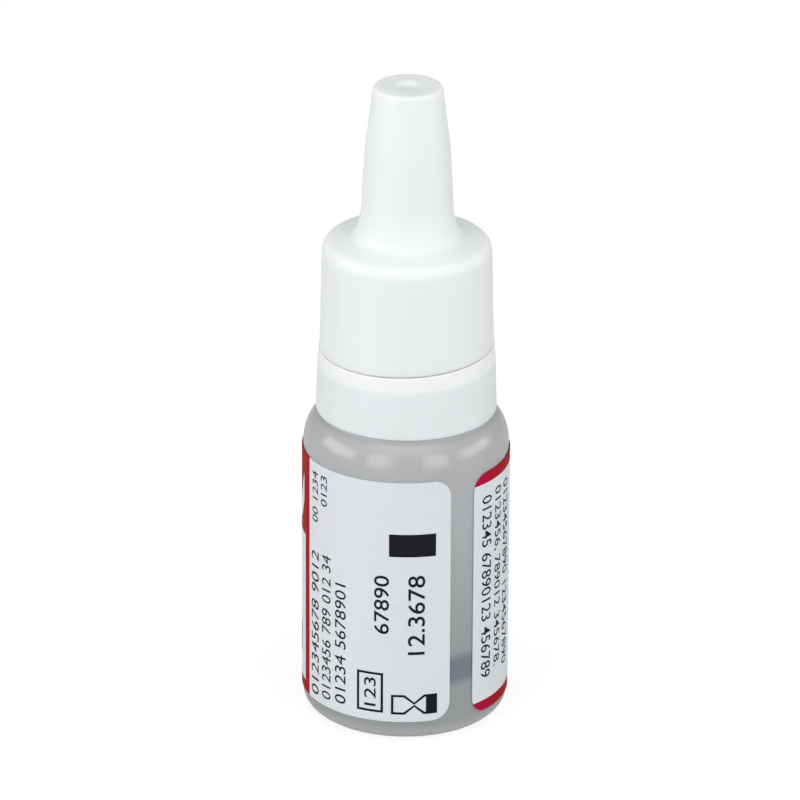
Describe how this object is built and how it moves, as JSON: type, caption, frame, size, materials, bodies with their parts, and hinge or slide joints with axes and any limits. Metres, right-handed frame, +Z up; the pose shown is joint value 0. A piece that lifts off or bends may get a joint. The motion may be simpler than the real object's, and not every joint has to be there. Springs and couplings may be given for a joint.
{
  "type": "ear drop bottle",
  "caption": "Small squeeze bottle with a wrap label, a press-in dropper nozzle, a tamper ring and a tall tapered screw cap.",
  "frame": {"origin": "centre of the standing ring, on the surface that the bottle stands on", "axes": "+Z up along the bottle's axis; the gap between the label's ends faces -Y, turned about 33 degrees towards +X"},
  "size_m": [0.0234, 0.0234, 0.0751],
  "materials": {
    "natural_polyethylene": "translucent, soft sheen",
    "milky_polyethylene": "translucent, soft sheen",
    "white_polyethylene": "opaque, soft sheen",
    "white_label": "coated paper with flat print"
  },
  "bodies": {
    "bottle_body": {"bottle": "natural_polyethylene", "dropper_insert": "milky_polyethylene", "label": "white_label"},
    "ring_body": {"tamper_ring": "white_polyethylene"},
    "cap_body": {"screw_cap": "white_polyethylene"}
  },
  "joints": [
    {"name": "cap_turn", "type": "hinge", "parent": "bottle_body", "child": "ring_body", "pos_m": [0, 0, 0.0404], "axis": [0, 0, 1], "range_deg": [0, 3600]},
    {"name": "cap_rise", "type": "slide", "parent": "ring_body", "child": "cap_body", "axis": [0, 0, 1], "range_m": [0, 0.03]}
  ],
  "couplings": [
    {"joint": "cap_rise", "follows": "cap_turn", "m_per_rad": 0.00047746}
  ]
}
